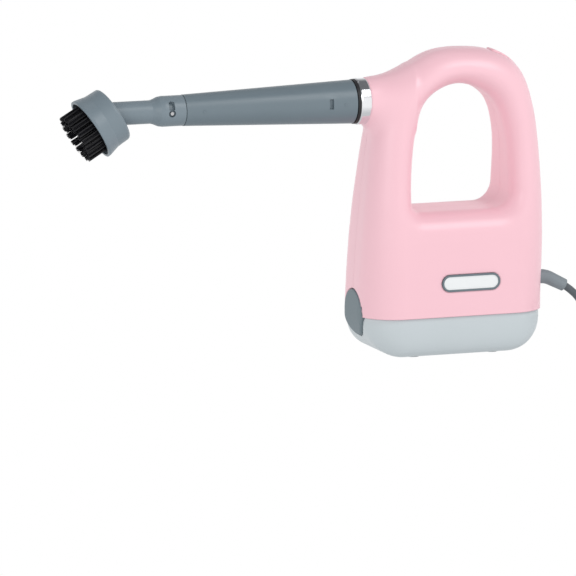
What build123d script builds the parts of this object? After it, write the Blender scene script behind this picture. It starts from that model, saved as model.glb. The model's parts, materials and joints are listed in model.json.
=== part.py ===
from build123d import *
import os
from functools import lru_cache
from math import cos, radians, sin, tan

# Handheld garment steamer, in millimetres. +Z is up, the nozzle points to -X, the cord leaves at +X,
# and the origin is on the floor below the middle of the body. The body is symmetric about Y = 0.

os.makedirs("parts", exist_ok=True)

# Body
WALL = 2.5
SEAM_Z = 36.0
BASE_STEP = 1.8
FLOOR_GAP = 1.0
CORNER_R = 36.0
EDGE_R, OPENING_EDGE_R = 20.0, 14.0
FRONT_X, REAR_X = -83.5, 82.0
SILL_Z, FRONT_SILL_X, REAR_SILL_X = 124.5, -38.5, 51.5
REACH = 120.0

# Nozzle line
NOZZLE_Z = 219.0
NECK_X, NECK_ROOT_X, NECK_R, NECK_ROOT_R = -73.0, -38.0, 20.0, 24.0
COLLAR_X, SEAL_X, WAND_X = -82.0, -84.5, -84.9
WAND_END_X, WAND_R, WAND_END_R = -236.4, 18.7, 13.3
SOCKET_R, SOCKET_X, SPIGOT_R = 13.2, -114.0, 12.6
TIP_R, TIP_END_X, TIP_BORE_R = 9.9, -257.0, 5.0

# Brush head
ADAPTER_X, ADAPTER_END_X, ADAPTER_R = -236.9, -255.0, 13.0
BRUSH_NECK_R, BRUSH_NECK_X = 9.9, -265.5
BRUSH_ANGLE = 31.0
CUP_X, CUP_Z = -297.0, 219.5
CUP_R, CUP_RIM_R, CUP_LENGTH, CUP_WALL = 24.6, 27.4, 24.6, 2.2
BRISTLE_LENGTH, TUFT_R = 16.2, 2.3
TUFT_RINGS = ((20.0, 18), (14.4, 13))  # (radius, tufts)
BRUSH_BORE_R = 10.5

# Filler, button, badge and cord
FILLER_Z, CAP_R = 37.5, 20.0
BUTTON_X, BUTTON_Z, BUTTON_ANGLE, BUTTON_LENGTH, BUTTON_WIDTH = 54.0, 252.6, 31.0, 29.0, 17.0
BADGE_X, BADGE_Z, BADGE_LENGTH, BADGE_WIDTH = 8.0, 65.0, 53.0, 14.6
CORD_Z, CORD_R = 58.5, 3.25
COIL_X, COIL_Y, COIL_R, COIL_HALF, COIL_HEIGHT = 232.0, -38.0, 36.0, 13.5, 13.4
TIE_T = 1.2


def save(part, name):
    part.label = name
    export_step(part, "parts/" + name + ".step")


def parallel(points, shift, count=20):
    """Points of a smooth curve through the given ones, moved sideways by shift to the left of its run."""
    curve = Spline(*points, tangents=[(0, 1), (0, -1)])
    stations = [k / count for k in range(count + 1)]
    return [((curve @ t).X - shift * (curve % t).Y, (curve @ t).Y + shift * (curve % t).X) for t in stations]


def closed_face(low_z, left, right, curve_points):
    """A face bounded by a level line, a quarter arc up each side of it and a smooth curve over the top.

    left and right are the arcs' (centre x, radius)."""
    (left_x, left_r), (right_x, right_r) = left, right
    diagonal = cos(radians(45))
    with BuildSketch(Plane.XZ) as face:
        with BuildLine():
            Line((left_x, low_z), (right_x, low_z))
            right_mid = (right_x + right_r * diagonal, low_z + right_r * (1 - diagonal))
            ThreePointArc((right_x, low_z), right_mid, curve_points[0])
            Spline(*curve_points, tangents=[(0, 1), (0, -1)])
            left_mid = (left_x - left_r * diagonal, low_z + left_r * (1 - diagonal))
            ThreePointArc(curve_points[-1], left_mid, (left_x, low_z))
        make_face()
    return face.sketch


def side_outline(inset):
    """Outline of the body seen from the side, on the middle plane."""
    high = FLOOR_GAP + CORNER_R
    curve = [
        (REAR_X, high), (83.5, 98), (82.5, 156), (77.5, 208), (66, 241), (44, 257), (13, 261.5),
        (-14, 258.5), (-38, 245), (-58, 224), (-68, 198), (-75, 152), (-80.3, 98), (FRONT_X, high),
    ]
    left, right = (FRONT_X + CORNER_R, CORNER_R - inset), (REAR_X - CORNER_R, CORNER_R - inset)
    return closed_face(FLOOR_GAP + inset, left, right, parallel(curve, inset))


def hand_opening(outset):
    """Outline of the hand opening at its narrowest, on the middle plane."""
    rear_r, front_r = 16.0, 8.0
    curve = [
        (REAR_SILL_X, SILL_Z + rear_r), (49.6, 188), (37.5, 219), (8, 231.5), (-20.5, 219), (-33, 188),
        (FRONT_SILL_X, SILL_Z + front_r),
    ]
    left, right = (FRONT_SILL_X + front_r, front_r + outset), (REAR_SILL_X - rear_r, rear_r + outset)
    return closed_face(SILL_Z - outset, left, right, parallel(curve, -outset))


def front_outline(inset):
    """Outline of the body seen from the front: 90 wide at the base, 48 at the top of the handle."""
    half, top, top_z, low_z = 45 - inset, 24 - inset, 270, -5
    with BuildSketch(Plane.YZ) as outline:
        with BuildLine():
            Spline(
                (half, low_z), (half, 45), (42 - inset, 100), (34.5 - inset, 160), (28 - inset, 215), (top, top_z),
                tangents=[(0, 1), (-0.05, 1)],
            )
            Polyline((top, top_z), (0, top_z), (0, low_z), (half, low_z))
        make_face()
        mirror(about=Plane.YZ)
    return outline.sketch


@lru_cache
def blank(inset):
    """The body's form without the hand opening, shrunk by inset all over."""
    with BuildPart() as form:
        extrude(side_outline(inset), amount=REACH, both=True)
        extrude(front_outline(inset), amount=REACH, both=True, mode=Mode.INTERSECT)
        fillet([e for e in form.edges() if abs(e.center().Y) > 10], EDGE_R - inset)
    return form.part


@lru_cache
def handled(inset):
    """The blank with its hand opening cut and rounded."""
    with BuildPart() as form:
        add(blank(inset))
        extrude(hand_opening(inset), amount=REACH, both=True, mode=Mode.SUBTRACT)
        rim = [
            e for e in form.edges()
            if -40 < e.center().X < 54 and 118 < e.center().Z < 238 and abs(e.center().Y) > 8
        ]
        fillet(rim, OPENING_EDGE_R - inset)
    return form.part


def slab(low_z, high_z):
    height = high_z - low_z
    return Pos(0, 0, low_z + height / 2) * Box(2 * REACH, 2 * REACH, height)


def rod_x(x0, x1, radius, z=NOZZLE_Z, y=0.0):
    """A plain cylinder from x0 to x1."""
    return Pos((x0 + x1) / 2, y, z) * Rot(0, 90, 0) * Cylinder(radius, abs(x1 - x0))


def rod_y(x, z, y0, y1, radius):
    return Pos(x, (y0 + y1) / 2, z) * Rot(90, 0, 0) * Cylinder(radius, abs(y1 - y0))


def turned(points, x_axis_z=NOZZLE_Z):
    """A solid turned about the nozzle line, from (x, radius) points."""
    with BuildPart() as piece:
        with BuildSketch(Plane.XZ):
            with BuildLine():
                Polyline(*[(x, x_axis_z + r) for x, r in points], close=True)
            make_face()
        revolve(axis=Axis((0, 0, x_axis_z), (1, 0, 0)))
    return piece.part


def hose(points, radii, radius, bore=0.0):
    """A round hose or rod along straight runs joined by tangent arcs."""
    with BuildPart() as piece:
        with BuildLine() as path:
            FilletPolyline(*points, radius=radii)
        with BuildSketch(Plane(origin=path.line @ 0, z_dir=path.line % 0)):
            Circle(radius)
            if bore:
                Circle(bore, mode=Mode.SUBTRACT)
        sweep()
    return piece.part


def neck(x0, r0, x1, r1):
    return turned([(x0, 0), (x0, r0), (x1, r1), (x1, 0)])


# ---- body shells -------------------------------------------------------------------------------
outer = handled(0) + neck(NECK_X, NECK_R, NECK_ROOT_X, NECK_ROOT_R)
cavity = handled(WALL) + neck(NECK_X - 1, NECK_R - WALL, NECK_ROOT_X, NECK_ROOT_R - WALL)

BOSSES = ((-64.0, 166.0), (69.0, 122.0), (2.0, 246.5), (-68.0, 98.0))
BOSS_R, SHANK_R, HEAD_R, HEAD_DEPTH = 4.0, 1.5, 3.1, 7.0
bosses = Part() + [rod_y(x, z, -REACH, REACH, BOSS_R) for x, z in BOSSES]
filler_cut = rod_x(-REACH, -60, CAP_R + 0.5, FILLER_Z)
gland_cut = rod_x(60, REACH, 7.0, CORD_Z)
slant = radians(BUTTON_ANGLE)
button_plane = Plane(
    origin=(BUTTON_X, 0, BUTTON_Z), x_dir=(cos(slant), 0, -sin(slant)), z_dir=(sin(slant), 0, cos(slant)),
)
with BuildPart() as button_cut:
    with BuildSketch(button_plane.offset(-14)):
        RectangleRounded(BUTTON_LENGTH + 1.8, BUTTON_WIDTH + 1.0, 5.5)
    extrude(amount=40)
with BuildPart() as badge_cut:
    with BuildSketch(Plane(origin=(BADGE_X, -60, BADGE_Z), x_dir=(1, 0, 0), z_dir=(0, -1, 0))):
        SlotOverall(BADGE_LENGTH, BADGE_WIDTH)
    extrude(amount=-16.8)

left_half = Pos(0, -REACH / 2, SEAM_Z + 150) * Box(3 * REACH, REACH, 300)
right_half = Pos(0, REACH / 2, SEAM_Z + 150) * Box(3 * REACH, REACH, 300)


def half_shell(half, cuts):
    """One half of the hollow body above the seam, with its screw bosses."""
    outside = outer & half
    return outside - (cavity & half) + (bosses & outside) - [filler_cut, gland_cut, button_cut.part] - cuts


threads = [rod_y(x, z, -14, 1, SHANK_R + 0.1) for x, z in BOSSES]
shanks = [rod_y(x, z, -1, REACH, SHANK_R + 0.3) for x, z in BOSSES]
shell_left = half_shell(left_half, threads + [badge_cut.part])
shell_right = half_shell(right_half, shanks)
screws = []
for x, z in BOSSES:
    reach = max(v.Y for v in (rod_y(x, z, 0, REACH, 0.2) & outer).vertices())
    shell_right = shell_right - rod_y(x, z, reach - HEAD_DEPTH, REACH, HEAD_R + 0.4)
    screws.append(rod_y(x, z, -12, reach - HEAD_DEPTH, SHANK_R))
    screws.append(rod_y(x, z, reach - HEAD_DEPTH, reach - HEAD_DEPTH + 2.2, HEAD_R))
save(shell_left, "body_shell_left")
save(shell_right, "body_shell_right")
save(Part() + [Part() + screws[i:i + 2] for i in range(0, len(screws), 2)], "case_screws")

# ---- base --------------------------------------------------------------------------------------
FEET = [(0, 0)] + [(x, y) for x in (-36, 36) for y in (-20, 20)]
FOOT_R, FOOT_H = 6.0, 1.6
feet = [Pos(x, y, FOOT_H / 2) * Cylinder(FOOT_R, FOOT_H) for x, y in FEET]
raised = SEAM_Z + BASE_STEP
tub_hollow = blank(BASE_STEP + WALL) & slab(-5, raised + 1)
tub = Pos(0, 0, -BASE_STEP) * ((blank(BASE_STEP) & slab(0, raised)) - tub_hollow)
LIP_IN, LIP_T, LIP_TOP = 2.7, 1.9, 42.0
lip_hollow = blank(LIP_IN + LIP_T) & slab(0, LIP_TOP + 1)
lip = (blank(LIP_IN) & slab(SEAM_Z - 4, LIP_TOP)) - lip_hollow
base = tub + lip - [filler_cut] - feet
save(base, "base_shell")
save(Part() + feet, "rubber_feet")

# ---- water tank and filler ---------------------------------------------------------------------
TANK_INSET, TANK_WALL, TANK_TOP, TANK_REAR = 7.4, 1.6, 57.0, 57.0
tank_box = Pos(-REACH / 2 + TANK_REAR / 2, 0, TANK_TOP / 2) * Box(REACH + TANK_REAR, 2 * REACH, TANK_TOP)
wet_box = Pos(-TANK_WALL, 0, -TANK_WALL) * tank_box
tank = (blank(TANK_INSET) & tank_box) - (blank(TANK_INSET + TANK_WALL) & wet_box)
NECK_TUBE_R, NECK_BORE_R = 15.0, 13.0
OUTLET_X = -64.0
tank = tank - [rod_x(-REACH, -60, NECK_TUBE_R, FILLER_Z), Pos(OUTLET_X, 0, TANK_TOP) * Cylinder(2.65, 6)]
save(tank, "water_tank")

flange_disc = rod_x(-REACH, -60, 23, FILLER_Z)
flange = (blank(4.9) & flange_disc) - (blank(6.7) & flange_disc)
filler = flange + rod_x(-76, -63, NECK_TUBE_R, FILLER_Z) - rod_x(-REACH, -60, NECK_BORE_R, FILLER_Z)
save(filler, "filler_neck")

CAP_PLUG_R, GASKET_X = 11.6, -70.5
cap_disc = rod_x(-REACH, -60, CAP_R, FILLER_Z)
cap_skin = (blank(-0.6) & cap_disc) - (blank(3.2) & cap_disc)
cap = cap_skin + (rod_x(-84, -67, CAP_PLUG_R, FILLER_Z) & blank(1.0))
groove = rod_x(GASKET_X - 1.2, GASKET_X + 1.2, 20, FILLER_Z) - rod_x(-REACH, -60, CAP_PLUG_R - 1.2, FILLER_Z)
save(cap - groove, "filler_cap")
gasket = rod_x(GASKET_X - 1.2, GASKET_X + 1.2, NECK_BORE_R - 0.06, FILLER_Z)
save(gasket - rod_x(-REACH, -60, CAP_PLUG_R - 1.2, FILLER_Z), "cap_gasket")

# ---- pump, boiler and steam line ---------------------------------------------------------------
PUMP_Z, PUMP_X0, PUMP_X1, PUMP_R = 76.0, -50.0, -14.0, 12.0
HOSE_R, HOSE_BORE = 2.6, 1.4
pump = rod_x(PUMP_X0, PUMP_X1, PUMP_R, PUMP_Z) + rod_x(PUMP_X0 - 6, PUMP_X1 + 6, 3.0, PUMP_Z)
save(pump, "pump")
cradle = Pos(-32, 0, 63.4) * Box(26, 30, 12.4) - rod_x(PUMP_X0, PUMP_X1, PUMP_R + 0.05, PUMP_Z)
save(cradle & slab(TANK_TOP + 0.2, 70), "pump_bracket")

suction_path = [(PUMP_X0 - 6, 0, PUMP_Z), (OUTLET_X, 0, PUMP_Z), (OUTLET_X, 0, TANK_TOP - 4)]
suction_hose = hose(suction_path, [6.0], HOSE_R, HOSE_BORE)
save(suction_hose, "suction_hose")

PIPE_X, PIPE_R = -52.0, 3.0
BOILER_X0, BOILER_X1, BOILER_Z, BOILER_HALF = 8.0, 62.0, 84.0, 15.0
with BuildPart() as boiler:
    with BuildSketch(Plane.YZ.offset(BOILER_X0)):
        with Locations((0, BOILER_Z)):
            RectangleRounded(2 * BOILER_HALF, 32, 6)
    extrude(amount=BOILER_X1 - BOILER_X0)
    with BuildSketch(Plane.YZ.offset(BOILER_X0)):
        with Locations((0, BOILER_Z + 8)):
            Circle(PIPE_R + 0.1)
        with Locations((0, BOILER_Z - 8)):
            Circle(HOSE_R)
    extrude(amount=6, mode=Mode.SUBTRACT)
element_end = BOILER_X1 + 4
element_path = [(element_end, -9, BOILER_Z), (14, -9, BOILER_Z), (14, 9, BOILER_Z), (element_end, 9, BOILER_Z)]
element = hose(element_path, [8.0, 8.0], 3.2)
save(boiler.part - element, "boiler")
save(element, "heating_element")
delivery = rod_x(PUMP_X1 + 6, BOILER_X0 + 5, HOSE_R, PUMP_Z) - rod_x(PUMP_X1, BOILER_X0 + 6, HOSE_BORE, PUMP_Z)
save(delivery, "delivery_hose")

thermostat = Pos(28, 0, BOILER_Z + 16 + 2.5) * Cylinder(8, 5) + Pos(28, 0, BOILER_Z + 16 + 6) * Cylinder(4, 2)
save(thermostat, "thermostat")
fuse = rod_x(24, 38, 2.0, BOILER_Z + 2, -BOILER_HALF - 2.0)
save(fuse, "thermal_fuse")

pipe_points = [
    (BOILER_X0 + 5.5, 0, BOILER_Z + 8), (-6, 0, BOILER_Z + 8), (-22, 0, 108), (PIPE_X, 0, 118),
    (PIPE_X, 0, NOZZLE_Z), (-66, 0, NOZZLE_Z),
]
save(hose(pipe_points, [10.0, 14.0, 10.0, 9.0], PIPE_R, 2.0), "steam_pipe")

# ---- nozzle ------------------------------------------------------------------------------------
O_RINGS = (-90.0, -96.0)
GROOVE_HALF, GROOVE_R = 1.2, 11.4
spigot = turned([
    (-62, PIPE_R + 0.05), (-62, 17.2), (-72, 17.2), (-72, SPIGOT_R), (-110, SPIGOT_R), (-110, 6), (-68, 6),
    (-68, PIPE_R + 0.05),
])
LUG_X, LUG_HALF, LUG_R = -103.0, 2.0, 14.9
lugs = rod_x(LUG_X - LUG_HALF, LUG_X + LUG_HALF, LUG_R) & (
    Pos(LUG_X, 0, NOZZLE_Z) * Box(10, 5, 40)
)
lugs = lugs - rod_x(-110, -62, 8)
spigot = spigot + lugs
for x in O_RINGS:
    low, high = x - GROOVE_HALF, x + GROOVE_HALF
    spigot = spigot - turned([(low, GROOVE_R), (low, 14), (high, 14), (high, GROOVE_R)])
save(spigot, "nozzle_spigot")


def o_ring(x, half, inside, outside):
    return turned([(x - half, inside), (x - half, outside - 0.4), (x - half + 0.4, outside),
                   (x + half - 0.4, outside), (x + half, outside - 0.4), (x + half, inside)])


save(Part() + [o_ring(x, GROOVE_HALF, GROOVE_R, SOCKET_R - 0.06) for x in O_RINGS], "spigot_o_rings")
save(turned([
    (NECK_X, SPIGOT_R + 0.1), (NECK_X, 19.6), (NECK_X - 1, NECK_R), (COLLAR_X + 1, NECK_R), (COLLAR_X, 19.4),
    (COLLAR_X, SPIGOT_R + 0.1),
]), "chrome_collar")
save(turned([
    (COLLAR_X, SPIGOT_R + 0.1), (COLLAR_X, 19.2), (SEAL_X, 19.0), (SEAL_X, SPIGOT_R + 0.1),
]), "seal_ring")

# ---- wand --------------------------------------------------------------------------------------
wand = turned([
    (WAND_X, SOCKET_R), (WAND_X, WAND_R - 0.5), (WAND_X - 0.5, WAND_R), (WAND_END_X, WAND_END_R),
    (WAND_END_X, TIP_R), (TIP_END_X + 1, TIP_R), (TIP_END_X, TIP_R - 1), (TIP_END_X, TIP_BORE_R),
    (WAND_END_X + 10, TIP_BORE_R), (WAND_END_X + 14, 10.5), (SOCKET_X - 4, 14.6), (SOCKET_X - 1, SOCKET_R),
    (LUG_X - 3, SOCKET_R), (LUG_X - 3, LUG_R + 0.4), (LUG_X + 3, LUG_R + 0.4), (LUG_X + 3, SOCKET_R),
])
window = Pos(-108.5, -WAND_R, NOZZLE_Z + 1) * Box(3.6, 6.4, 8.6)
wand = wand - window
TIP_RING_X, TIP_GROOVE_R = -254.2, 8.7
PEG_X, PEG_DOWN, PEG_TOP_R = -249.5, 3.0, 12.6
SLOT_R, KEYHOLE_R = 1.9, 3.1
peg_plane = Plane(origin=(PEG_X, 0, NOZZLE_Z), z_dir=(0, -cos(radians(PEG_DOWN)), -sin(radians(PEG_DOWN))))
with BuildPart() as peg:
    with BuildSketch(peg_plane.offset(TIP_BORE_R + 1)):
        Circle(1.5)
    extrude(amount=PEG_TOP_R - TIP_BORE_R - 1)
low, high = TIP_RING_X - 1, TIP_RING_X + 1
wand = wand - turned([(low, TIP_GROOVE_R), (low, 12), (high, 12), (high, TIP_GROOVE_R)])
save(wand - peg.part, "wand_tube")
save(peg.part, "lock_peg")
save(o_ring(TIP_RING_X, 1.0, TIP_GROOVE_R, 9.97), "tip_o_ring")

# ---- brush head --------------------------------------------------------------------------------
tilt = radians(BRUSH_ANGLE)
cup_plane = Plane(origin=(CUP_X, 0, CUP_Z), x_dir=(0, 1, 0), z_dir=(-cos(tilt), 0, -sin(tilt)))
BACK = 4.0
adapter = turned([
    (ADAPTER_X, TIP_R + 0.08), (ADAPTER_X, ADAPTER_R), (ADAPTER_END_X, ADAPTER_R), (ADAPTER_END_X - 3.5, 12.5),
    (BRUSH_NECK_X + 2.5, 10.6), (BRUSH_NECK_X, BRUSH_NECK_R),
    (CUP_X - 6, BRUSH_NECK_R), (CUP_X - 6, 6.5), (TIP_END_X - 1.5, 6.5), (TIP_END_X - 1.5, TIP_R + 0.08),
])
SLOT_SWEEP, SLOT_STEPS = 42.0, 12


def slot_cut(angle, radius):
    """A round hole in the adapter's side, angle degrees below level."""
    arm = Plane(origin=(PEG_X, 0, NOZZLE_Z), z_dir=(0, -cos(radians(angle)), -sin(radians(angle))))
    with BuildPart() as cut:
        with BuildSketch(arm.offset(TIP_R - 1)):
            Circle(radius)
        extrude(amount=6)
    return cut.part


with BuildPart() as cup:
    with BuildSketch(Plane.XZ):
        with BuildLine():
            Polyline((0, 0), (CUP_R, 0), (CUP_R + 0.4, 13), (CUP_RIM_R, CUP_LENGTH - 2), (CUP_RIM_R, CUP_LENGTH),
                     (CUP_RIM_R - CUP_WALL, CUP_LENGTH), (CUP_R - CUP_WALL, BACK), (0, BACK), (0, 0))
        make_face()
    revolve(axis=Axis.Z)
    fillet(cup.edges().sort_by(Axis.Z)[0], 3.0)
cup_part = cup_plane.location * cup.part
throat = rod_x(TIP_END_X - 2, CUP_X - 30, 6.5)
adapter = (adapter - (cup_plane.location * (Pos(0, 0, 50) * Cylinder(60, 100)))) + (cup_part - throat)
for step in range(SLOT_STEPS + 1):
    adapter = adapter - slot_cut(PEG_DOWN - step * SLOT_SWEEP / SLOT_STEPS, SLOT_R)
adapter = adapter - slot_cut(PEG_DOWN, KEYHOLE_R) - Pos(PEG_X, -ADAPTER_R, NOZZLE_Z + 5.6) * Box(5.2, 10, 6.4)
save(adapter, "brush_adapter")

INSERT_Z, RING_TOP = BACK + 0.2, 20.0
with BuildPart() as insert:
    with BuildSketch(Plane.XY.offset(INSERT_Z)):
        Circle(BRUSH_BORE_R - 0.5)
        with PolarLocations(5.5, 6):
            Circle(1.0, mode=Mode.SUBTRACT)
    extrude(amount=3)
save(cup_plane.location * insert.part, "steam_insert")

with BuildPart() as ring:
    with BuildSketch(Plane.XY.offset(INSERT_Z)):
        Circle(CUP_R - CUP_WALL - 0.4)
        Circle(BRUSH_BORE_R, mode=Mode.SUBTRACT)
    extrude(amount=RING_TOP - BACK)
    for radius, count in TUFT_RINGS:
        with BuildSketch(Plane.XY.offset(RING_TOP - 4)):
            with PolarLocations(radius, count):
                Circle(TUFT_R)
        extrude(amount=10, mode=Mode.SUBTRACT)
save(cup_plane.location * ring.part, "brush_ring")
with BuildPart() as tufts:
    for radius, count in TUFT_RINGS:
        with BuildSketch(Plane.XY.offset(RING_TOP - 4)):
            with PolarLocations(radius, count):
                Circle(TUFT_R)
        extrude(amount=CUP_LENGTH + BRISTLE_LENGTH - RING_TOP + 4)
save(cup_plane.location * tufts.part, "bristle_tufts")

# ---- steam button, its pin, switch and wiring --------------------------------------------------
PIN_R, PIN_DOWN, PIN_BACK = 1.2, 6.0, 11.0
with BuildPart() as pad:
    with BuildSketch(button_plane.offset(-7)):
        RectangleRounded(BUTTON_LENGTH, BUTTON_WIDTH, 5)
    extrude(amount=14)
pad_part = pad.part & (Pos(-1.5, 0, 1.6) * blank(0))
pin_at = button_plane.from_local_coords((PIN_BACK, 0, -PIN_DOWN))
pin = rod_y(pin_at.X, pin_at.Z, -11.5, 11.5, PIN_R)
lug = rod_y(pin_at.X, pin_at.Z, -5, 5, 3.0)
stem_foot = button_plane.location * Pos(-8, 0, -8.5) * Cylinder(2.2, 7)
button = pad_part + lug + stem_foot - rod_y(pin_at.X, pin_at.Z, -20, 20, PIN_R + 0.05)
save(button, "steam_button")
save(pin, "button_pin")

SWITCH_DOWN = 18.5
switch = button_plane.location * Pos(-8, 0, -SWITCH_DOWN) * Box(16, 6.4, 9)
plunger = button_plane.location * Pos(-8, 0, -SWITCH_DOWN + 5.2) * Cylinder(1.2, 2.0)
well = button_plane.location * Pos(-8, 0, -SWITCH_DOWN + 4) * Cylinder(1.3, 6)
save(switch - well, "microswitch")
save(plunger, "switch_plunger")
yoke = button_plane.location * (Pos(-8, 0, -SWITCH_DOWN) * (Box(19, 12, 6) - Box(16.1, 6.5, 20)))
save(yoke, "switch_bracket")

wire_points = [(52, 0, 228), (64, 0, 205), (67, 0, 160), (62, 0, 120), (60, 21, 108)]
save(hose(wire_points, [30, 60, 8], 1.8), "button_wiring")
BOARD_Y = 24.0
board = Pos(34, BOARD_Y, 84) * Box(56, 1.6, 36)
parts_on_board = [
    Pos(20, BOARD_Y + 5, 90) * Box(14, 8, 12), Pos(40, BOARD_Y + 4, 92) * Box(10, 6, 10),
    Pos(54, BOARD_Y + 3.5, 76) * Box(8, 5, 12), rod_y(30, 74, BOARD_Y + 0.8, BOARD_Y + 9, 4),
]
save(board + parts_on_board, "control_board")

# ---- badge -------------------------------------------------------------------------------------
BEZEL = 1.7


def badge_slot(y, length, width, depth):
    with BuildPart() as piece:
        with BuildSketch(Plane(origin=(BADGE_X, y, BADGE_Z), x_dir=(1, 0, 0), z_dir=(0, -1, 0))):
            SlotOverall(length, width)
        extrude(amount=depth)
    return piece.part


badge_back = -43.2
bezel = badge_slot(badge_back, BADGE_LENGTH - 0.2, BADGE_WIDTH - 0.2, 2.2)
bezel = bezel - badge_slot(badge_back + 0.8, BADGE_LENGTH - 2 * BEZEL, BADGE_WIDTH - 2 * BEZEL, 6)
plate = badge_slot(badge_back, BADGE_LENGTH - 2 * BEZEL - 0.1, BADGE_WIDTH - 2 * BEZEL - 0.1, 1.6)
bezel = bezel - badge_slot(badge_back - 1, BADGE_LENGTH - 2 * BEZEL, BADGE_WIDTH - 2 * BEZEL, 9)
save(bezel, "badge_bezel")
save(plate, "badge_plate")

# ---- cord --------------------------------------------------------------------------------------
RELIEF_END = (111.3, 0.0, 49.7)
relief_points = [(76, 0, CORD_Z), (94, 0, CORD_Z), RELIEF_END]
with BuildPart() as relief:
    with BuildLine() as relief_line:
        FilletPolyline(*relief_points, radius=20)
    with BuildSketch(Plane(origin=relief_line.line @ 0, z_dir=relief_line.line % 0)):
        Circle(6.6)
    with BuildSketch(Plane(origin=relief_line.line @ 1, z_dir=relief_line.line % 1)):
        Circle(5.4)
    sweep(multisection=True)
gland_flange = rod_x(74.0, 79.0, 9.5, CORD_Z)
save(relief.part + gland_flange, "strain_relief")
clamp = Pos(67.5, 0, CORD_Z + 3.4) * Box(9, 18, 10) - rod_x(50, 80, CORD_R + 0.05, CORD_Z)
save(clamp, "cord_clamp")
save(rod_x(62, 73.9, CORD_R, CORD_Z), "inner_cord")

route = [
    RELIEF_END, (121.5, 0, 42.8), (129.5, 0.5, 31), (138.5, 1.5, 16.8), (149.4, 3, 7.9), (162.6, 5.2, CORD_R),
    (180, 9, CORD_R), (200, 10.6, CORD_R), (218, 8.4, CORD_R),
]


def arc_radii(points):
    """Each corner's arc: 0.45 of the shorter run, over the tangent of half the turn."""
    found = []
    for a, b, c in zip(points, points[1:], points[2:]):
        into, out = Vector(*b) - Vector(*a), Vector(*c) - Vector(*b)
        shorter = min(into.length, out.length)
        found.append(0.45 * shorter / tan(radians(into.get_angle(out)) / 2))
    return found


save(hose(route, arc_radii(route), CORD_R), "power_cord")

with BuildPart() as coil:
    with BuildSketch(Plane(origin=(COIL_X, COIL_Y, 0), x_dir=(1, 0, 0), z_dir=(0, -1, 0))):
        with Locations((COIL_R, COIL_HEIGHT / 2)):
            RectangleRounded(2 * COIL_HALF, COIL_HEIGHT, 3.2)
    revolve(axis=Axis((COIL_X, COIL_Y, 0), (0, 0, 1)))
with BuildPart() as band:
    with BuildSketch(Plane(origin=(COIL_X, COIL_Y, 0), x_dir=(1, 0, 0), z_dir=(0, -1, 0))):
        with Locations((COIL_R, COIL_HEIGHT / 2 + TIE_T / 2)):
            RectangleRounded(2 * COIL_HALF + 2 * TIE_T, COIL_HEIGHT + TIE_T, 4)
        with Locations((COIL_R, COIL_HEIGHT / 2 + TIE_T / 2)):
            RectangleRounded(2 * COIL_HALF, COIL_HEIGHT - TIE_T, 3, mode=Mode.SUBTRACT)
    revolve(axis=Axis((COIL_X, COIL_Y, 0), (0, 0, 1)), revolution_arc=18)
save(coil.part - band.part, "cord_coil")
save(band.part, "cord_tie")

PLUG_X, PLUG_Y, PLUG_Z, PLUG_LENGTH, PLUG_TAPER = 186.0, COIL_Y - COIL_R - 8.0, 11.0, 30.0, 12.0
save(rod_x(PLUG_X, COIL_X - 14, CORD_R, 9.75, PLUG_Y), "cord_tail")


def plug_section(along):
    return Plane(origin=(PLUG_X - along, PLUG_Y, PLUG_Z), x_dir=(0, 1, 0), z_dir=(-1, 0, 0))


with BuildPart() as plug:
    with BuildSketch(plug_section(0)):
        RectangleRounded(13, 10, 4)
    with BuildSketch(plug_section(PLUG_TAPER)):
        RectangleRounded(25, 20, 7)
    loft()
    with BuildSketch(plug_section(PLUG_TAPER)):
        RectangleRounded(25, 20, 7)
    extrude(amount=PLUG_LENGTH - PLUG_TAPER)
blades = [
    Pos(PLUG_X - PLUG_LENGTH - 5, PLUG_Y + side * 6.35, PLUG_Z) * Box(26, 1.5, 6.4) for side in (-1, 1)
]
save(plug.part - blades[0] - blades[1], "mains_plug")
save(Part() + blades, "plug_blades")
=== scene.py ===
import json
import math

import bmesh
import bpy
import numpy as np
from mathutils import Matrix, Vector


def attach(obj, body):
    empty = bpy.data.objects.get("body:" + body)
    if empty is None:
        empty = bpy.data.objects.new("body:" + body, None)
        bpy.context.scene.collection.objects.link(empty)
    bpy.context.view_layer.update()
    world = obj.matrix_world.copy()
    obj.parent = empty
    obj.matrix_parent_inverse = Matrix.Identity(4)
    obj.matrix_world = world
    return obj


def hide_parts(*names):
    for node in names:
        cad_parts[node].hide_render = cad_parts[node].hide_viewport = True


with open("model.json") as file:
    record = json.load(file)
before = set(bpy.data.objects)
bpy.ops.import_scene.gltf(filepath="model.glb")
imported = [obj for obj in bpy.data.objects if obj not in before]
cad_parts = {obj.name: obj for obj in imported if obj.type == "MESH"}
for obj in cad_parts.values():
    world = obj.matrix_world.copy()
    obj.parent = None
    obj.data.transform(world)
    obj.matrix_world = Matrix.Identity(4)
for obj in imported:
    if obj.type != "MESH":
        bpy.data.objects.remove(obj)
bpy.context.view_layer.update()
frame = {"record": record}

MM = 0.001

# ---- camera: a long lens from the left, 20 degrees towards the front and a little above ---------
AIM = Vector((-0.1417, 0.0, 0.0617))
AZIMUTH, ELEVATION, DISTANCE = math.radians(-20.0), math.radians(9.7), 6.0
# the sensor's width in millimetres, and the width in metres that it sees at AIM
SENSOR, FRAME_WIDTH = 36.0, 0.4896

camera_data = bpy.data.cameras.new("camera")
camera_data.sensor_width = SENSOR
camera_data.lens = SENSOR * DISTANCE / FRAME_WIDTH
camera_data.clip_end = 50
camera = bpy.data.objects.new("camera", camera_data)
bpy.context.scene.collection.objects.link(camera)
toward = Vector((
    math.sin(AZIMUTH) * math.cos(ELEVATION), -math.cos(AZIMUTH) * math.cos(ELEVATION), math.sin(ELEVATION)
))
camera.location = AIM + toward * DISTANCE
camera.rotation_euler = (-toward).to_track_quat("-Z", "Y").to_euler()
bpy.context.scene.camera = camera


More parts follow.
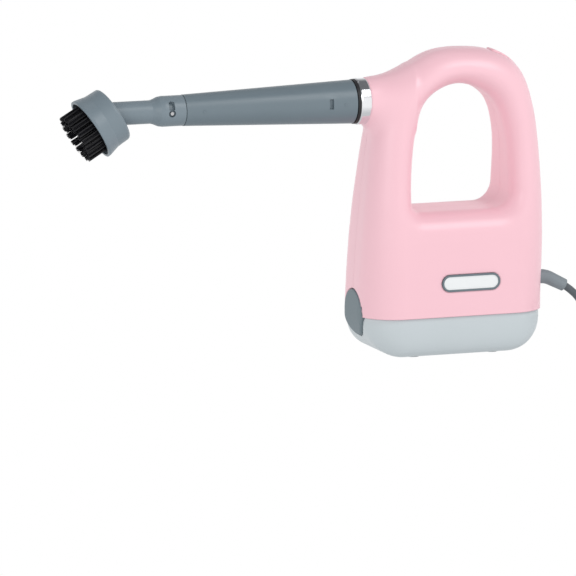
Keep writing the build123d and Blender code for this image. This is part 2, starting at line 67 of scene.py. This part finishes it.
# ---- materials ----------------------------------------------------------------------------------
def material(
    name, colour, roughness, tint=0.06, scale=90.0, bump=0.05, grain=900.0, rough_swing=0.08, **sockets
):
    """Moulded plastic, rubber or metal: a slow tint, uneven gloss and a fine surface grain."""
    made = bpy.data.materials.new(name)
    made.use_nodes = True
    tree = made.node_tree
    shader = tree.nodes["Principled BSDF"]
    place = tree.nodes.new("ShaderNodeTexCoord")
    slow = tree.nodes.new("ShaderNodeTexNoise")
    slow.inputs["Scale"].default_value = scale
    slow.inputs["Detail"].default_value = 4.0
    tree.links.new(place.outputs["Object"], slow.inputs["Vector"])
    mix = tree.nodes.new("ShaderNodeMix")
    mix.data_type = "RGBA"
    mix.inputs["A"].default_value = (*[c * (1 - tint) for c in colour], 1)
    mix.inputs["B"].default_value = (*[min(1.0, c * (1 + tint)) for c in colour], 1)
    tree.links.new(slow.outputs["Fac"], mix.inputs["Factor"])
    tree.links.new(mix.outputs["Result"], shader.inputs["Base Color"])
    gloss = tree.nodes.new("ShaderNodeMapRange")
    gloss.inputs["To Min"].default_value = max(0.02, roughness - rough_swing)
    gloss.inputs["To Max"].default_value = min(1.0, roughness + rough_swing)
    fine = tree.nodes.new("ShaderNodeTexNoise")
    fine.inputs["Scale"].default_value = grain
    fine.inputs["Detail"].default_value = 3.0
    tree.links.new(place.outputs["Object"], fine.inputs["Vector"])
    tree.links.new(slow.outputs["Fac"], gloss.inputs["Value"])
    tree.links.new(gloss.outputs["Result"], shader.inputs["Roughness"])
    if bump:
        relief = tree.nodes.new("ShaderNodeBump")
        relief.inputs["Strength"].default_value = bump
        relief.inputs["Distance"].default_value = 0.0004
        tree.links.new(fine.outputs["Fac"], relief.inputs["Height"])
        tree.links.new(relief.outputs["Normal"], shader.inputs["Normal"])
    for socket, value in sockets.items():
        shader.inputs[socket.replace("_", " ")].default_value = value
    return made


PINK = material("pink_moulded", (0.935, 0.572, 0.642), 0.36, tint=0.02, scale=14, bump=0.03, Coat_Weight=0.12,
                Coat_Roughness=0.25)
BASE = material("base_moulded", (0.56, 0.615, 0.64), 0.42, tint=0.03, scale=20, bump=0.06)
WAND = material("wand_moulded", (0.155, 0.20, 0.23), 0.36, tint=0.05, scale=30, bump=0.12, grain=1400)
ADAPTER = material("adapter_moulded", (0.195, 0.245, 0.28), 0.38, tint=0.05, scale=40, bump=0.12, grain=1400)
CAP = material("cap_rubber", (0.185, 0.23, 0.255), 0.62, tint=0.08, scale=60, bump=0.3, grain=1600)
BLACK = material("black_rubber", (0.012, 0.012, 0.014), 0.5, tint=0.2, bump=0.2)
FOOT = material("foot_rubber", (0.30, 0.33, 0.35), 0.6, tint=0.06, scale=80, bump=0.25)
BRISTLE = material("bristle_nylon", (0.008, 0.008, 0.011), 0.38, tint=0.3, scale=300, bump=0.15)
CHROME = material(
    "chrome_plate", (0.86, 0.87, 0.89), 0.10, tint=0.02, bump=0.01, rough_swing=0.04, Metallic=1.0
)
SILVER = material(
    "badge_foil", (0.86, 0.88, 0.89), 0.30, tint=0.03, bump=0.03, rough_swing=0.06, Metallic=0.25
)
BEZEL = material("bezel_metal", (0.16, 0.20, 0.225), 0.35, tint=0.06, bump=0.05, Metallic=0.4)
CORD = material("cord_sheath", (0.10, 0.115, 0.13), 0.48, tint=0.08, scale=120, bump=0.15)
RELIEF = material("relief_rubber", (0.235, 0.275, 0.30), 0.58, tint=0.06, scale=80, bump=0.25)
STEEL = material("plated_steel", (0.55, 0.55, 0.56), 0.3, tint=0.08, bump=0.1, Metallic=1.0)
BRASS = material("plated_blade", (0.72, 0.60, 0.36), 0.25, tint=0.08, bump=0.08, Metallic=1.0)
INNER = material("inner_nylon", (0.62, 0.61, 0.57), 0.5, tint=0.06, bump=0.1)
TANK = material("tank_plastic", (0.72, 0.80, 0.84), 0.22, tint=0.03, bump=0.03)
BOARD = material("board_resin", (0.03, 0.16, 0.07), 0.4, tint=0.25, scale=400, bump=0.1)
ALUMINIUM = material("cast_aluminium", (0.62, 0.62, 0.63), 0.45, tint=0.1, scale=200, bump=0.4, Metallic=1.0)

FINISH = {
    "pink_shell": PINK, "base_plastic": BASE, "wand_plastic": WAND, "brush_plastic": ADAPTER,
    "cap_rubber": CAP, "seal_rubber": BLACK, "foot_rubber": FOOT, "chrome": CHROME,
    "badge_silver": SILVER, "bezel_metal": BEZEL, "bristle_black": BRISTLE, "tank_plastic": TANK,
    "inner_plastic": INNER, "aluminium": ALUMINIUM, "steel": STEEL, "hose_silicone": INNER,
    "board_green": BOARD, "cord_grey": CORD, "relief_grey": RELIEF, "brass": BRASS,
}
SLOT_OF = {row["node"]: row["material_slot"] for row in frame["record"]["subparts"]}
for node, slot_name in SLOT_OF.items():
    held = bpy.data.objects[node]
    for held_slot in held.material_slots:
        held_slot.material = FINISH[slot_name]
    if not held.material_slots:
        held.data.materials.append(FINISH[slot_name])


def link(name, data, body, finish):
    """A new piece: on its body, with its finish."""
    piece = bpy.data.objects.new(name, data)
    bpy.context.scene.collection.objects.link(piece)
    data.materials.clear()
    data.materials.append(finish)
    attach(piece, body)
    return piece


def mesh_from(name, points, faces, smooth=True):
    made = bpy.data.meshes.new(name)
    made.from_pydata([tuple(p) for p in points], [], [tuple(f) for f in faces])
    made.update()
    if smooth:
        made.polygons.foreach_set("use_smooth", [True] * len(made.polygons))
    return made


# ---- cord: route, coil and tail as one line -----------------------------------------------------
CORD_R = 3.25
ROUTE = [
    (111.3, 0, 49.7), (121.5, 0, 42.8), (129.5, 0.5, 31), (138.5, 1.5, 16.8), (149.4, 3, 7.9),
    (162.6, 5.2, CORD_R), (180, 9, CORD_R), (200, 10.6, CORD_R), (218, 8.4, CORD_R),
]
COIL_X, COIL_Y, COIL_TOP_Z = 232.0, -38.0, 3 * CORD_R
COIL_R, COLUMNS, COIL_TURNS, TURN_STEPS = 45.9, 4, 7.5, 16
STEADY_PART = 0.7


def coil_points():
    """Clockwise turns: inwards on the lower layer, outwards on the upper, ending half a turn on.

    A turn keeps its radius for STEADY_PART of the way round, then moves over to the next.
    """
    columns = [COIL_R - 2 * CORD_R * column for column in range(COLUMNS)]
    radii = columns + columns[::-1]
    heights = [CORD_R] * COLUMNS + [COIL_TOP_Z] * COLUMNS
    steps = int(COIL_TURNS * TURN_STEPS)
    for step in range(steps + 1):
        turn, part = divmod(step / TURN_STEPS, 1)
        turn = int(turn)
        shift = max(0.0, (part - STEADY_PART) / (1 - STEADY_PART))
        after = min(turn + 1, len(radii) - 1)
        radius = radii[turn] + (radii[after] - radii[turn]) * shift
        height = heights[turn] + (heights[after] - heights[turn]) * shift
        angle = math.pi / 2 - 2 * math.pi * part
        yield COIL_X + radius * math.cos(angle), COIL_Y + radius * math.sin(angle), height


TAIL = [(216, -83.6, COIL_TOP_Z), (201, -82.6, 10.4), (186.2, -82, 11.0)]
line = [*ROUTE, *coil_points(), *TAIL]
cord_curve = bpy.data.curves.new("mains_cord", "CURVE")
cord_curve.dimensions = "3D"
spline = cord_curve.splines.new("NURBS")
spline.points.add(len(line) - 1)
for point, (x, y, z) in zip(spline.points, line):
    point.co = (x * MM, y * MM, z * MM, 1)
spline.order_u = 3
spline.use_endpoint_u = True
cord_curve.bevel_depth = CORD_R * MM
cord_curve.bevel_resolution = 6
cord_curve.resolution_u = 8
cord_curve.use_fill_caps = True
cord = link("mains_cord", cord_curve, "housing", CORD)
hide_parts("power_cord", "cord_coil", "cord_tail")


# ---- body shells: a smooth form measured from its side outline ----------------------------------
SEAM_Z, BASE_STEP, FLOOR_GAP, CORNER_R = 36.0, 1.8, 1.0, 36.0
FRONT_X, REAR_X, SILL_Z = -83.5, 82.0, 124.5
NOZZLE_Z, NECK_X, NECK_R = 219.0, -73.0, 20.0
NECK_END_X, NECK_ROOT_X, NECK_ROOT_R, NECK_BLEND = -40.0, -30.0, 25.0, 13.0
FILLER_Z, CAP_R, CAP_GAP, CAP_SKIN, CAP_LIMIT_X = 37.5, 20.0, 0.5, 3.2, -50.0
BUTTON_X, BUTTON_Z, BUTTON_TILT = 54.0, 252.6, math.radians(31)
BUTTON_LENGTH, BUTTON_WIDTH, BUTTON_DEPTH, BUTTON_CORNER_R = 29.0, 17.0, 12.0, 5.0
BUTTON_END_GAP, BUTTON_SIDE_GAP = 0.9, 0.5
BADGE_X, BADGE_Z, BADGE_LENGTH, BADGE_WIDTH, BADGE_DEPTH = 8.0, 65.0, 53.0, 14.6, 1.5
CORD_Z, GLAND_R, GLAND_DEPTH, GLAND_LIMIT_X = 58.5, 7.0, 6.0, 50.0
BOSSES = ((-64.0, 166.0), (69.0, 122.0), (2.0, 246.5), (-68.0, 98.0))
WELL_R, WELL_DEPTH, WELL_SIDE_Y = 3.5, 7.0, 4.0


def through(points, count=240):
    """A smooth line through the points: a Catmull-Rom curve with vertical ends."""
    p = np.array(points, float)
    tangent = np.empty_like(p)
    tangent[1:-1] = (p[2:] - p[:-2]) / 2
    tangent[0] = (0, np.linalg.norm(p[1] - p[0]))
    tangent[-1] = (0, -np.linalg.norm(p[-1] - p[-2]))
    t = np.linspace(0, len(p) - 1 - 1e-9, count)
    i = t.astype(int)
    u = (t - i)[:, None]
    return ((2 * u**3 - 3 * u**2 + 1) * p[i] + (u**3 - 2 * u**2 + u) * tangent[i]
            + (3 * u**2 - 2 * u**3) * p[i + 1] + (u**3 - u**2) * tangent[i + 1])


def closed_outline(low_z, left, right, curve):
    """A level line, a quarter arc up each end of it, and a smooth curve over the top."""
    quarter = np.linspace(0, math.pi / 2, 24)
    (left_x, left_r), (right_x, right_r) = left, right
    rise = np.c_[right_x + right_r * np.sin(quarter), low_z + right_r * (1 - np.cos(quarter))]
    fall = np.c_[left_x - left_r * np.cos(quarter), low_z + left_r * (1 - np.sin(quarter))]
    return np.vstack([rise, through(curve)[1:-1], fall])


SIDE = closed_outline(FLOOR_GAP, (FRONT_X + CORNER_R, CORNER_R), (REAR_X - CORNER_R, CORNER_R), [
    (REAR_X, 37), (83.5, 98), (82.5, 156), (77.5, 208), (66, 241), (44, 257), (13, 261.5),
    (-14, 258.5), (-38, 245), (-58, 224), (-68, 198), (-75, 152), (-80.3, 98), (FRONT_X, 37),
])
OPENING = closed_outline(SILL_Z, (-30.5, 8), (35.5, 16), [
    (51.5, 140.5), (49.6, 188), (37.5, 219), (8, 231.5), (-20.5, 219), (-33, 188), (-38.5, 132.5),
])


CHUNK = 20000


def plane_distance(points, outline):
    """Signed distance in the plane, negative inside the outline."""
    a, b = outline, np.roll(outline, -1, axis=0)
    run = b - a
    long2 = (run**2).sum(1)
    found = np.empty(len(points))
    for start in range(0, len(points), CHUNK):
        p = points[start:start + CHUNK]
        off = p[:, None, :] - a[None]
        t = np.clip((off * run).sum(2) / long2, 0, 1)
        near = ((off - t[..., None] * run) ** 2).sum(2).min(1)
        up = (a[None, :, 1] > p[:, 1:]) != (b[None, :, 1] > p[:, 1:])
        with np.errstate(divide="ignore", invalid="ignore"):
            cross = p[:, :1] < run[None, :, 0] * off[:, :, 1] / run[None, :, 1] + a[None, :, 0]
        inside = (up & cross).sum(1) % 2 == 1
        found[start:start + CHUNK] = np.sqrt(near) * np.where(inside, -1, 1)
    return found


TABLE_LOW, TABLE_SIZE, TABLE_STEP = np.array((-96.0, -10.0)), (192, 284), 1.0


def distance_table(outline):
    """The distance at every point of a TABLE_STEP grid over the side view."""
    x = TABLE_LOW[0] + TABLE_STEP * np.arange(TABLE_SIZE[0])
    z = TABLE_LOW[1] + TABLE_STEP * np.arange(TABLE_SIZE[1])
    grid = np.stack(np.meshgrid(x, z, indexing="ij"), -1).reshape(-1, 2)
    return plane_distance(grid, outline).reshape(TABLE_SIZE)


def signed(flat, table):
    """The table's distance at each point, between its four neighbours."""
    cell = np.clip((flat - TABLE_LOW) / TABLE_STEP, 0, np.array(TABLE_SIZE) - 1.001)
    i, k = cell.astype(int).T
    u, v = (cell - np.floor(cell)).T
    return ((1 - u) * (1 - v) * table[i, k] + u * (1 - v) * table[i + 1, k]
            + (1 - u) * v * table[i, k + 1] + u * v * table[i + 1, k + 1])


SIDE_TABLE, OPENING_TABLE = distance_table(SIDE), distance_table(OPENING)


WIDTH_HEIGHTS = [-10, 45, 70, 100, 130, 160, 190, 215, 270]
HALF_WIDTHS = [45, 45, 44.1, 42, 38.6, 34.5, 30.8, 28, 24]
EDGE_HEIGHTS, EDGE_RADII = [0, 8, 36, 60, 130, 200, 262], [17, 19, 33, 33, 27, 22, 21]
OPENING_EDGE_R = 18.5


def half_width(z):
    """Half the body's width: 45 at the base, about 25 at the top of the handle."""
    return np.interp(z, WIDTH_HEIGHTS, HALF_WIDTHS)


def rounded(a, b, r):
    """Both a and b, with their edge rounded to r."""
    return np.minimum(np.maximum(a, b), -r) + np.hypot(np.maximum(a + r, 0), np.maximum(b + r, 0))


def joined(a, b, k):
    """Either a or b, blended over k."""
    h = np.clip(0.5 + 0.5 * (b - a) / k, 0, 1)
    return b + (a - b) * h - k * h * (1 - h)


def button_frame(x, z):
    """Distance along the button pad and out of it."""
    dx, dz = x - BUTTON_X, z - BUTTON_Z
    along = dx * math.cos(BUTTON_TILT) - dz * math.sin(BUTTON_TILT)
    out = dx * math.sin(BUTTON_TILT) + dz * math.cos(BUTTON_TILT)
    return along, out


def round_box(a, b, half_a, half_b, r):
    """Distance to an oblong with its corners rounded to r."""
    qa, qb = np.abs(a) - half_a + r, np.abs(b) - half_b + r
    return np.hypot(np.maximum(qa, 0), np.maximum(qb, 0)) + np.minimum(np.maximum(qa, qb), 0) - r


def cap_pocket(p, body):
    """The round recess at the front that the filler cap's skin fills."""
    around = np.hypot(p[:, 1], p[:, 2] - FILLER_Z) - CAP_R - CAP_GAP
    return np.maximum(around, np.maximum(-body - CAP_SKIN, p[:, 0] - CAP_LIMIT_X))


def button_pocket(p):
    """The recess on the handle's shoulder that the thumb pad moves in."""
    along, out = button_frame(p[:, 0], p[:, 2])
    half_length, half_wide = BUTTON_LENGTH / 2 + BUTTON_END_GAP, BUTTON_WIDTH / 2 + BUTTON_SIDE_GAP
    around = round_box(along, p[:, 1], half_length, half_wide, BUTTON_CORNER_R + BUTTON_SIDE_GAP)
    return np.maximum(around, -out - BUTTON_DEPTH)


def badge_pocket(p, body):
    """The shallow round-ended recess for the badge, on the left side."""
    x, y, z = p.T
    past_middle = np.maximum(np.abs(x - BADGE_X) - (BADGE_LENGTH - BADGE_WIDTH) / 2, 0)
    around = np.hypot(past_middle, z - BADGE_Z) - BADGE_WIDTH / 2
    return np.maximum(around, np.maximum(-body - BADGE_DEPTH, y))


def gland_pocket(p, body):
    """The round recess at the rear for the cord's strain relief."""
    around = np.hypot(p[:, 1], p[:, 2] - CORD_Z) - GLAND_R
    return np.maximum(around, np.maximum(-body - GLAND_DEPTH, -p[:, 0]))


def screw_well(p, body, boss_x, boss_z):
    """The well for one case screw, on the right side."""
    around = np.hypot(p[:, 0] - boss_x, p[:, 2] - boss_z) - WELL_R
    return np.maximum(around, np.maximum(-body - WELL_DEPTH, WELL_SIDE_Y - p[:, 1]))


def form(p, pockets=True):
    """Signed distance to the whole body, in millimetres."""
    x, y, z = p.T
    flat = p[:, [0, 2]]
    side, hole = signed(flat, SIDE_TABLE), signed(flat, OPENING_TABLE)
    made = rounded(side, np.abs(y) - half_width(z), np.interp(z, EDGE_HEIGHTS, EDGE_RADII))
    made = rounded(made, -hole, OPENING_EDGE_R)
    neck = np.hypot(y, z - NOZZLE_Z) - np.interp(x, [NECK_X, NECK_ROOT_X], [NECK_R, NECK_ROOT_R])
    made = joined(made, np.maximum(neck, np.maximum(x - NECK_END_X, NECK_X - x)), NECK_BLEND)
    if not pockets:
        return made
    made = np.maximum(made, -cap_pocket(p, made))
    body = np.maximum(made, -button_pocket(p))
    made = np.maximum(np.maximum(body, -badge_pocket(p, body)), -gland_pocket(p, body))
    for boss_x, boss_z in BOSSES:
        made = np.maximum(made, -screw_well(p, body, boss_x, boss_z))
    return made


def base_form(p):
    """The base tub's form: the same body, a step smaller."""
    raised = p.copy()
    raised[:, 2] += BASE_STEP
    made = form(raised, pockets=False) + BASE_STEP
    return np.maximum(made, -cap_pocket(p, made))


def surface(field, low, high, step):
    """Surface nets: a quad mesh of field = 0, its points then moved onto the surface."""
    axes = [np.arange(a, b + step, step) for a, b in zip(low, high)]
    shape = [len(a) for a in axes]
    grid = np.stack(np.meshgrid(*axes, indexing="ij"), -1).reshape(-1, 3)
    value = field(grid).reshape(shape)
    inside = value < 0
    cells = [n - 1 for n in shape]
    total, count = np.zeros(cells + [3]), np.zeros(cells)
    corner = np.stack(np.meshgrid(*[np.arange(n) for n in cells], indexing="ij"), -1).astype(float)
    for axis in range(3):
        for da in (0, 1):
            for db in (0, 1):
                start = [0, 0, 0]
                others = [k for k in range(3) if k != axis]
                start[others[0]], start[others[1]] = da, db
                s0 = tuple(slice(start[k], start[k] + cells[k]) for k in range(3))
                start[axis] = 1
                s1 = tuple(slice(start[k], start[k] + cells[k]) for k in range(3))
                start[axis] = 0
                cut = inside[s0] != inside[s1]
                with np.errstate(divide="ignore", invalid="ignore"):
                    t = np.where(cut, value[s0] / (value[s0] - value[s1]), 0)
                point = corner + np.array(start, float)
                point[..., axis] += t
                total += point * cut[..., None]
                count += cut
    used = count > 0
    index = np.full(cells, -1)
    index[used] = np.arange(used.sum())
    points = total[used] / count[used][:, None] * step + np.array(low)
    faces = []
    for axis in range(3):
        b, c = [(1, 2), (2, 0), (0, 1)][axis]
        lead = [slice(1, n - 1) for n in shape]
        lead[axis] = slice(0, shape[axis] - 1)
        tip = list(lead)
        tip[axis] = slice(1, shape[axis])
        cut = inside[tuple(lead)] != inside[tuple(tip)]
        where = np.argwhere(cut) + np.array([0 if k == axis else 1 for k in range(3)])
        outward = inside[tuple(lead)][cut]
        ring = []
        for db, dc in ((1, 1), (0, 1), (0, 0), (1, 0)):
            at = where.copy()
            at[:, b] -= db
            at[:, c] -= dc
            ring.append(index[tuple(at.T)])
        quads = np.stack(ring, 1)
        quads[~outward] = quads[~outward][:, ::-1]
        faces.append(quads)
    faces = np.vstack(faces)
    nudge, least_slope = 0.3, 0.3
    for _ in range(2):
        here = field(points)
        slope = np.stack([
            (field(points + d) - field(points - d)) / (2 * nudge) for d in np.eye(3) * nudge
        ], 1)
        slope /= np.maximum((slope**2).sum(1), least_slope)[:, None]
        points = points - np.clip(here[:, None] * slope, -step / 2, step / 2)
    return points, faces


def cut_mesh(name, points, faces, planes):
    """A mesh kept on the side of each plane that its normal points away from."""
    made = mesh_from(name, points * MM, faces)
    work = bmesh.new()
    work.from_mesh(made)
    for at, normal in planes:
        bmesh.ops.bisect_plane(
            work, geom=work.verts[:] + work.edges[:] + work.faces[:], dist=1e-6,
            plane_co=[c * MM for c in at], plane_no=normal, clear_outer=True,
        )
    work.to_mesh(made)
    work.free()
    made.polygons.foreach_set("use_smooth", [True] * len(made.polygons))
    return made


WALL = 1.6


def thicken(piece):
    """A wall of even thickness, inwards from the outer surface."""
    wall = piece.modifiers.new("wall", "SOLIDIFY")
    wall.thickness = WALL * MM
    wall.offset = -1
    wall.use_rim = True


def opened(points, faces):
    """The faces without the bottoms of the cap, gland and button pockets, which are open to the inside."""
    x, y, z = points[faces].mean(1).T
    along, out = button_frame(x, z)
    rim = 0.3
    filler = (np.hypot(y, z - FILLER_Z) < CAP_R - rim) & (x < CAP_LIMIT_X)
    gland = (np.hypot(y, z - CORD_Z) < GLAND_R - rim) & (x > GLAND_LIMIT_X)
    under_pad = round_box(along, y, BUTTON_LENGTH / 2, BUTTON_WIDTH / 2, BUTTON_CORNER_R) < 0
    pad = under_pad & (np.abs(out + BUTTON_DEPTH) < 1)
    return faces[~(filler | gland | pad)]


STEP = 1.25
SHELL_BOX, TUB_BOX = ((-90, -50, 30), (88, 50, 266)), ((-88, -50, -4), (86, 50, 44))
PARTING, SHELL_LIFT, TUB_DROP = 0.12, 0.15, 0.05
points, faces = surface(form, *SHELL_BOX, STEP)
faces = opened(points, faces)
for name, side in (("left", -1), ("right", 1)):
    shell = cut_mesh("shell_" + name, points, faces, [
        ((0, side * PARTING, 0), (0, -side, 0)), ((0, 0, SEAM_Z + SHELL_LIFT), (0, 0, -1)),
    ])
    piece = link("pink_shell_" + name, shell, "housing", PINK)
    thicken(piece)
    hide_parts("body_shell_" + name)

points, faces = surface(base_form, *TUB_BOX, STEP)
faces = opened(points, faces)
tub = cut_mesh("tub", points, faces, [((0, 0, SEAM_Z - TUB_DROP), (0, 0, 1))])
base = link("base_tub", tub, "housing", BASE)
thicken(base)
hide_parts("base_shell")

# ---- filler cap, steam button and bristles ------------------------------------------------------
FINE_STEP = 0.55
CAP_BOX, BUTTON_BOX = ((-88, -22.5, 14), (-64, 22.5, 61)), ((33, -10, 228), (75, 10, 266))
CAP_PROUD, CAP_EDGE_R, PLUG_R, PLUG_X, PLUG_INSET = 0.6, 1.5, 11.6, -67.0, 1.0
GROOVE_X, GROOVE_HALF, GROOVE_DEPTH = -70.5, 1.2, 1.2


def cap_form(p):
    """The cap: a skin that follows the body, its edge rounded, on a plug with a gasket groove."""
    x, y, z = p.T
    body = form(p, pockets=False)
    radial = np.hypot(y, z - FILLER_Z)
    skin = rounded(body - CAP_PROUD, radial - CAP_R, CAP_EDGE_R)
    skin = np.maximum(skin, np.maximum(-body - CAP_SKIN, x - CAP_LIMIT_X))
    plug = np.maximum(radial - PLUG_R, np.maximum(x - PLUG_X, body + PLUG_INSET))
    groove = np.maximum(np.abs(x - GROOVE_X) - GROOVE_HALF, PLUG_R - GROOVE_DEPTH - radial)
    return np.minimum(skin, np.maximum(plug, -groove))


points, faces = surface(cap_form, *CAP_BOX, FINE_STEP)
cap = link("cap_moulding", mesh_from("cap_moulding", points * MM, faces), "filler_cap", CAP)
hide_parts("filler_cap")

TOP_SHIFT, PAD_EDGE_R, PAD_DEPTH = np.array((-1.9, 0, 2.2)), 0.5, 7.0
PIN_BACK, PIN_DOWN, PIN_HOLE_R, LUG_R, LUG_HALF = 11.0, 6.0, 1.3, 3.0, 5.0
STEM_AT, STEM_R, STEM_DOWN, STEM_HALF = -8.0, 2.2, 8.5, 3.5


def button_form(p):
    """The thumb pad: it follows the handle, its front lip proud, with a hinge lug and a stem below."""
    x, y, z = p.T
    along, out = button_frame(x, z)
    top = form(p - TOP_SHIFT, pockets=False)
    around = round_box(along, y, BUTTON_LENGTH / 2, BUTTON_WIDTH / 2, BUTTON_CORNER_R)
    pad = np.maximum(rounded(top, around, PAD_EDGE_R), -out - PAD_DEPTH)
    from_pin = np.hypot(along - PIN_BACK, out + PIN_DOWN)
    lug = np.maximum(from_pin - LUG_R, np.abs(y) - LUG_HALF)
    stem = np.maximum(np.hypot(along - STEM_AT, y) - STEM_R, np.abs(out + STEM_DOWN) - STEM_HALF)
    return np.maximum(np.minimum(np.minimum(pad, lug), stem), PIN_HOLE_R - from_pin)


points, faces = surface(button_form, *BUTTON_BOX, FINE_STEP)
button_mesh = mesh_from("button_moulding", points * MM, faces)
button = link("button_moulding", button_mesh, "steam_button", PINK)
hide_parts("steam_button")

CUP_X, CUP_Z, BRUSH_TILT = -297.0, 219.5, math.radians(31)
TUFT_RINGS, TUFT_R, TUFT_ROOT, TUFT_TIP = ((20.0, 18), (14.4, 13)), 2.2, 17.0, 40.6
FILAMENTS, FILAMENT_R, TIP_TAPER, SPLAY = (52), 0.27, 0.75, 1.12
TIP_SCATTER, TRIM_SCATTER, GOLDEN_ANGLE, THIRD_TURN = 0.22, 0.8, 2.39996, 2.0944


def brush_point(across, up, along):
    """From the brush's own axes to the part's, in metres: across (+Y), up and along its axis."""
    c, t = math.cos(BRUSH_TILT), math.sin(BRUSH_TILT)
    return Vector((CUP_X - along * c - up * t, across, CUP_Z - along * t + up * c)) * MM


def bristles():
    """Every filament: a thin three-sided rod in its tuft, a little splayed, cut to uneven lengths."""
    chance = np.random.default_rng(7)
    points, faces = [], []
    for ring_r, count in TUFT_RINGS:
        for k in range(count):
            angle = 2 * math.pi * k / count
            at = np.array((ring_r * math.cos(angle), ring_r * math.sin(angle)))
            for i in range(FILAMENTS):
                spread = (TUFT_R - FILAMENT_R) * math.sqrt((i + 0.5) / FILAMENTS)
                turn = i * GOLDEN_ANGLE + angle
                outwards = np.array((math.cos(turn), math.sin(turn)))
                root = at + spread * outwards
                tip = at + spread * SPLAY * outwards + chance.normal(0, TIP_SCATTER, 2)
                end = TUFT_TIP - abs(chance.normal(0, TRIM_SCATTER))
                a = len(points)
                for centre, along, r in ((root, TUFT_ROOT, FILAMENT_R), (tip, end, FILAMENT_R * TIP_TAPER)):
                    for j in range(3):
                        lean = THIRD_TURN * j + turn
                        across, up = centre[0] + r * math.cos(lean), centre[1] + r * math.sin(lean)
                        points.append(brush_point(across, up, along))
                faces += [(a, a + 1, a + 4, a + 3), (a + 1, a + 2, a + 5, a + 4), (a + 2, a, a + 3, a + 5),
                          (a + 2, a + 1, a), (a + 3, a + 4, a + 5)]
    return points, faces


points, faces = bristles()
tuft_mesh = mesh_from("filaments", points, faces, smooth=False)
tufts = link("filaments", tuft_mesh, "brush_head", BRISTLE)
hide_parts("bristle_tufts")

WAND_START_X, WAND_START_R, WAND_TAPER = -84.9, 18.7, 5.4 / 151.5
MARK_R, MARK_LINE, MARK_SUNK, MARK_XS = 1.3, 0.16, 0.02, (-96.0, -221.1)


def mould_marks():
    """Two fine raised rings that the moulding pins leave on the wand's side."""
    points, faces = [], []
    rounds, sides = 24, 6
    for x in MARK_XS:
        y = -(WAND_START_R + (x - WAND_START_X) * WAND_TAPER) + MARK_SUNK
        first = len(points)
        for i in range(rounds):
            a = 2 * math.pi * i / rounds
            for j in range(sides):
                b = 2 * math.pi * j / sides
                r = MARK_R + MARK_LINE * math.cos(b)
                at = (x + r * math.cos(a), y + MARK_LINE * math.sin(b), NOZZLE_Z + r * math.sin(a))
                points.append(Vector(at) * MM)
        for i in range(rounds):
            for j in range(sides):
                k, m = (i + 1) % rounds, (j + 1) % sides
                ring = (i * sides + j, i * sides + m, k * sides + m, k * sides + j)
                faces.append(tuple(first + n for n in ring))
    return points, faces


points, faces = mould_marks()
link("mould_marks", mesh_from("mould_marks", points, faces), "wand", WAND)

# ---- light: white walls, a grey floor and a dark ceiling, with three soft lamps -----------------
world = bpy.data.worlds.new("studio")
world.use_nodes = True
sky = world.node_tree
direction = sky.nodes.new("ShaderNodeTexCoord")
parts = sky.nodes.new("ShaderNodeSeparateXYZ")
sky.links.new(direction.outputs["Generated"], parts.inputs["Vector"])
ramp = sky.nodes.new("ShaderNodeValToRGB")
height = sky.nodes.new("ShaderNodeMapRange")
height.inputs["From Min"].default_value = -1.0
sky.links.new(parts.outputs["Z"], height.inputs["Value"])
sky.links.new(height.outputs["Result"], ramp.inputs["Fac"])
stops = ramp.color_ramp.elements
stops[0].position, stops[0].color = 0.12, (0.62, 0.63, 0.64, 1)
stops[1].position, stops[1].color = 0.90, (0.16, 0.165, 0.175, 1)
for position in (0.34, 0.66):
    stops.new(position).color = (1, 1, 1, 1)
sky.links.new(ramp.outputs["Color"], sky.nodes["Background"].inputs["Color"])
sky.nodes["Background"].inputs["Strength"].default_value = 1.0
bpy.context.scene.world = world


def lamp(name, place, energy, size, aim=(-0.05, 0, 0.13)):
    """A square soft lamp turned to the middle of the object."""
    data = bpy.data.lights.new(name, "AREA")
    data.energy = energy
    data.size = size
    made = bpy.data.objects.new(name, data)
    made.location = place
    made.rotation_euler = (Vector(aim) - Vector(place)).to_track_quat("-Z", "Y").to_euler()
    bpy.context.scene.collection.objects.link(made)


lamp("key", (0.75, -1.2, 1.6), 13.0, 0.9)
lamp("front", (-1.4, -1.35, 0.9), 5.0, 0.8)
lamp("top", (-0.1, 0.4, 1.8), 1.5, 1.0)
bpy.context.scene.view_settings.view_transform = "Standard"
